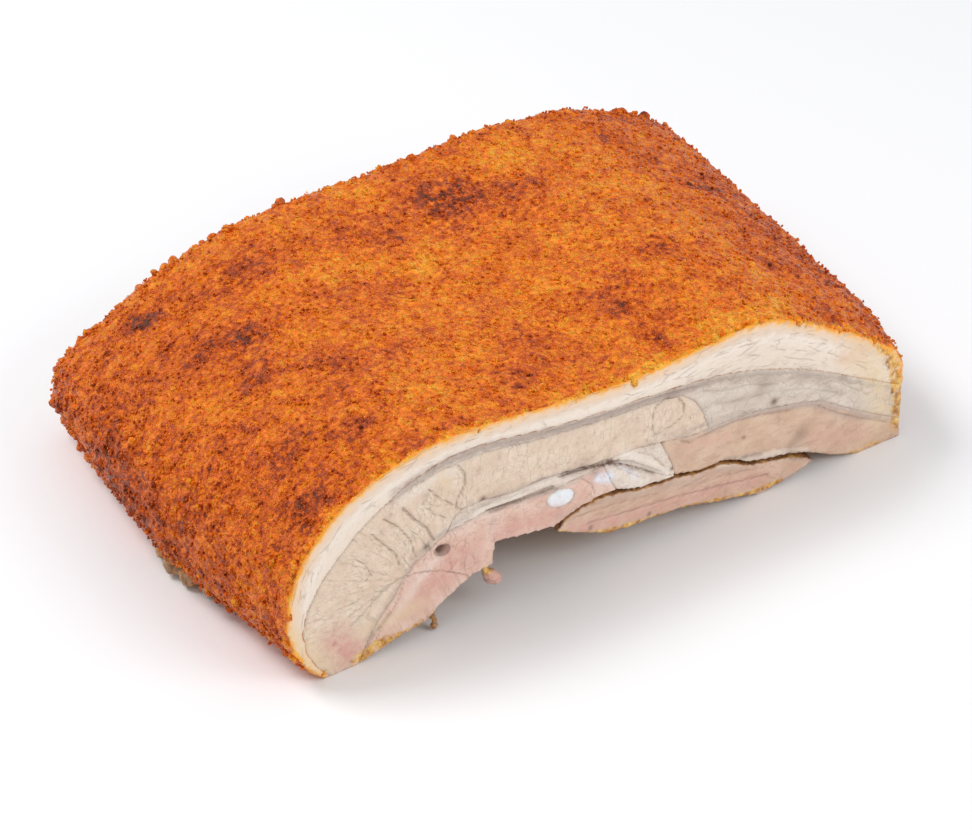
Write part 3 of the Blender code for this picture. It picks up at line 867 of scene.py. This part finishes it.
# %% Tendon sheet
tendon = fine_layer("tendon_sheet", "tendon_sheet_fine", 0.5 * MM, above="upper_lean")
carve(tendon, [(0.9, 0.6, [(44, 28.6), (52, 28.1), (62, 27.9)]),
               (1.1, 0.8, [(64, 30.5), (68, 30.3), (73, 29.6), (78, 28.9)]),
               (0.7, 0.4, [(79, 28.2), (84, 26.2), (88, 23.2), (93, 19.4)]),
               (0.6, 0.3, [(86, 28), (90, 25.5), (94, 20.5)]),
               (0.6, 0.3, [(40, 30.5), (48, 29.9), (57, 29.6)])])
dark_spots(tendon, [(96.2, 19.3, 0.7, 0.9), (69, 30.4, 2.0, 0.35)])
roughen(tendon, 0.2)
meat_finish(tendon, "tendon_cream", (0.84, 0.72, 0.62), (0.75, 0.61, 0.50), (0.58, 0.45, 0.37),
            fibre=(6, 1.0),
            lines=0.25, shine=0.3)
settle_in(tendon, "tendon_sheet")

# %% Lower lean
lower = fine_layer("lower_lean", "lower_lean_fine", 0.5 * MM, above="tendon_sheet")
carve(lower, [(2.0, 1.8, [(31.6, 22.9), (32.8, 22.5)]), (0.6, 0.3, [(13, 3), (16, 8), (20, 13), (22, 18)]),
              (0.4, 0.2, [(48, 22), (54, 21), (60, 20)]), (0.6, 0.3, [(70, 27), (73, 24), (74, 21)])])
# The strong spot in the carved pit is painted shade in the hole.
dark_spots(lower, [(32.1, 22.8, 1.2, 1.6), (46, 25.5, 1.0, 0.25), (74, 27, 1.5, 0.3)])
roughen(lower, 0.35)
meat_finish(lower, "lean_pink", (0.85, 0.63, 0.52), (0.77, 0.505, 0.395), (0.56, 0.33, 0.25), fibre=(3, 1.6),
            bundle=3.2, lines=0.3, under=((0.0, (0.66, 0.53, 0.45)), (0.1, (0.66, 0.48, 0.41)),
                                          (0.2, (0.75, 0.51, 0.43))))
settle_in(lower, "lower_lean")

# %% Gristle
gristle = fine_layer("gristle", "gristle_fine", 0.5 * MM, above="tendon_sheet")
carve(gristle, [(0.45, 0.25, [(79, 27), (83, 23.5), (88, 19.5)]),
                (0.4, 0.2, [(79, 23), (83, 20.5), (88, 18)])])
dark_spots(gristle, [(84, 24, 1.2, 0.2)])
roughen(gristle, 0.2)
meat_finish(gristle, "gristle_clear", (0.82, 0.70, 0.61), (0.72, 0.56, 0.46), (0.56, 0.40, 0.32),
            fibre=(4, 1.0),
            lines=0.2, shine=0.22)
settle_in(gristle, "gristle")

# %% [markdown]
# ### Side lean and rib flap
# The sloping end stands on a smooth pinkish muscle. Under it hangs a loose flap from between the ribs,
# mauve on top, pink below, and roasted golden along its lower edge.

# %% Side lean
side = fine_layer("side_lean", "side_lean_fine", 0.55 * MM, above="streaky_fat")
carve(side, [(0.8, 0.35, [(98, 26.6), (101, 24.6), (108, 25.2), (115, 25.4), (122, 24.3), (131, 22.2)]),
             (0.7, 0.3, [(140, 20), (147, 15), (155, 10.2), (163, 6)]),
             (0.6, 0.25, [(120, 13), (128, 12), (136, 9.5)])])
dark_spots(side, [(117.3, 19.8, 0.5, 0.8), (135, 13.3, 2.6, 0.4), (132.5, 11.5, 1.5, 0.3), (95.6, 19.6, 0.6, 0.8)])
roughen(side, 0.28)
meat_finish(side, "lean_rose", (0.74, 0.53, 0.385), (0.645, 0.425, 0.295), (0.50, 0.315, 0.225),
            fibre=(6, 2.0), straight=True,
            bundle=4.5, lines=0.2, under=((0.0, (0.52, 0.42, 0.36)), (0.12, (0.47, 0.36, 0.31)),
                                          (0.3, (0.62, 0.46, 0.36))))
settle_in(side, "side_lean")

# %% Rib flap
flap = fine_layer("rib_flap", "rib_flap_fine", 0.55 * MM)
carve(flap, [(0.7, 0.4, [(72, 13), (84, 11.5), (98, 10), (112, 7.5), (126, 5)]),
             (0.6, 0.3, [(68, 16.5), (80, 15.5), (92, 13.5)]),
             (0.6, 0.3, [(100, 12), (112, 10.5), (124, 8)])])
dark_spots(flap, [(73, 11.6, 0.6, 0.8), (90, 8.4, 0.6, 0.8), (107, 9, 0.8, 0.3)])
roughen(flap, 0.35)
meat_finish(flap, "lean_mauve", (0.74, 0.52, 0.39), (0.65, 0.42, 0.30), (0.46, 0.27, 0.19), fibre=(7, 1.3),
            bundle=4.0, bundle_way=(0.5, 1, 1), lines=0.2)
settle_in(flap, "rib_flap")

# %% Rib tip
rib = fine_layer("rib_tip", "rib_tip_fine", 0.3 * MM)
carve(rib, [])
dark_spots(rib, [])
# The bluish white is partly the cartilage's own pale colour and partly a painted highlight of its gloss.
meat_finish(rib, "cartilage_white_and_highlight", (0.90, 0.93, 0.96), (0.84, 0.88, 0.91), (0.70, 0.72, 0.76), fibre=(3, 3),
            lines=0.0, shine=0.12)
settle_in(rib, "rib_tip")

# %% [markdown]
# ### What hangs and sticks out
# A few small things break the slab's outline: a brown lump of lean under the steep end, a pale lump and a
# brown shred that hang from the roasted underside, and golden flakes of rind curled over the cut. Each is a
# string of balls, fused by Remesh and roughened.


# %% Blobs
def blob(name, balls, face_size=0.35, relief=0.5):
    """A lump from balls, each (x, y, z, radius) in mm, with what its material reads."""
    made = []
    for x, y, z, radius in balls:
        bpy.ops.mesh.primitive_ico_sphere_add(subdivisions=3, radius=radius * MM,
                                              location=(x * MM, y * MM, z * MM))
        made.append(bpy.context.object)
    for ball in made:
        ball.select_set(True)
    bpy.ops.object.join()
    piece = bpy.context.object
    bpy.ops.object.transform_apply(location=True, rotation=True, scale=True)
    piece.name = piece.data.name = name
    apply_modifier(piece, "REMESH", mode="VOXEL", voxel_size=face_size * MM, use_smooth_shade=True)
    roughen(piece, relief, 1.6)
    places = points_of(piece)
    move_points(piece, places)  # which lifts what hangs through the floor
    for known in ("groove", "dark_spots", "seam", "cut", "scorch", *TINTS):
        keep(piece, known, np.zeros(len(places)))
    keep(piece, "gold", 0.3 + np.zeros(len(places)))
    keep(piece, "browning", np.zeros(len(places)))
    keep(piece, "strata", np.column_stack([places[:, 0], places[:, 1] - FRONT, places[:, 2]]))
    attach(piece, "root")
    return piece


def from_foot(x, back, z, radius):
    """A ball placed by its section place and how far behind the cut it is, all in mm."""
    return CORNER_X / MM + x, FRONT / MM + back, z, radius


# %% Lump, shred and flakes
foot_lump = blob("lean_lump", [(-89.5, -20, 2.4, 2.2), (-91.5, -14, 2.9, 2.8), (-92.2, -8, 3.2, 3.1),
                               (-91.4, -2, 2.7, 2.6),
                               (-90.0, 3, 2.2, 2.0)], relief=1.2)
keep(foot_lump, "browning", np.full(len(points_of(foot_lump)), 0.8))
meat_finish(foot_lump, "lean_roasted", (0.55, 0.36, 0.22), (0.40, 0.24, 0.14), (0.24, 0.12, 0.06))
hanging = blob("hanging_lump", [from_foot(44.4, 1.6, 12.4, 1.1), from_foot(44.6, 1.5, 10.8, 0.9),
                                from_foot(45.2, 1.5, 9.4, 1.3),
                                from_foot(46.3, 1.7, 8.0, 1.9), from_foot(47.4, 1.7, 7.0, 1.6)],
                                face_size=0.25, relief=0.3)
keep(hanging, "rosy", soft_step(11 * MM, 9 * MM, points_of(hanging)[:, 2]) * 0.6)
keep(hanging, "amber", soft_step(9 * MM, 11 * MM, points_of(hanging)[:, 2]))
meat_finish(hanging, "lean_hanging", (0.80, 0.58, 0.46), (0.66, 0.42, 0.31), (0.45, 0.25, 0.18))
shred = blob("brown_shred", [from_foot(29.4, 1.2, 5.6, 1.2), from_foot(29.8, 1.0, 4.0, 0.7),
                             from_foot(30.4, 0.9, 2.6, 0.7),
                             from_foot(30.2, 0.9, 1.3, 0.9)], face_size=0.2, relief=0.3)
keep(shred, "browning", np.full(len(points_of(shred)), 0.85))
meat_finish(shred, "lean_shred", (0.55, 0.33, 0.15), (0.42, 0.21, 0.08), (0.25, 0.10, 0.04))
edge = [(x / MM, z / MM) for x, z in LINE if 18 * MM < x < 44 * MM]
curl = []
for (x0, z0), (x1, z1) in zip(edge, edge[1:]):
    for share in (0, 0.3, 0.6):
        x, z = x0 + (x1 - x0) * share, z0 + (z1 - z0) * share
        curl.append((x, FRONT / MM + 1.3 + 0.6 * math.sin(x), z + 0.25, 1.0 + 0.3 * math.sin(2.1 * x)))
drip = [from_foot(83.4, 0.8, 49.6, 0.9), from_foot(84.0, 0.3, 48.8, 0.8), from_foot(84.3, 0.2, 48.1, 0.7)]
flakes = blob("rind_flakes", curl + drip, face_size=0.3, relief=1.0)
crackling_finish([flakes])

# %% Tidy up
for piece in WELDED.values():
    bpy.data.objects.remove(piece)
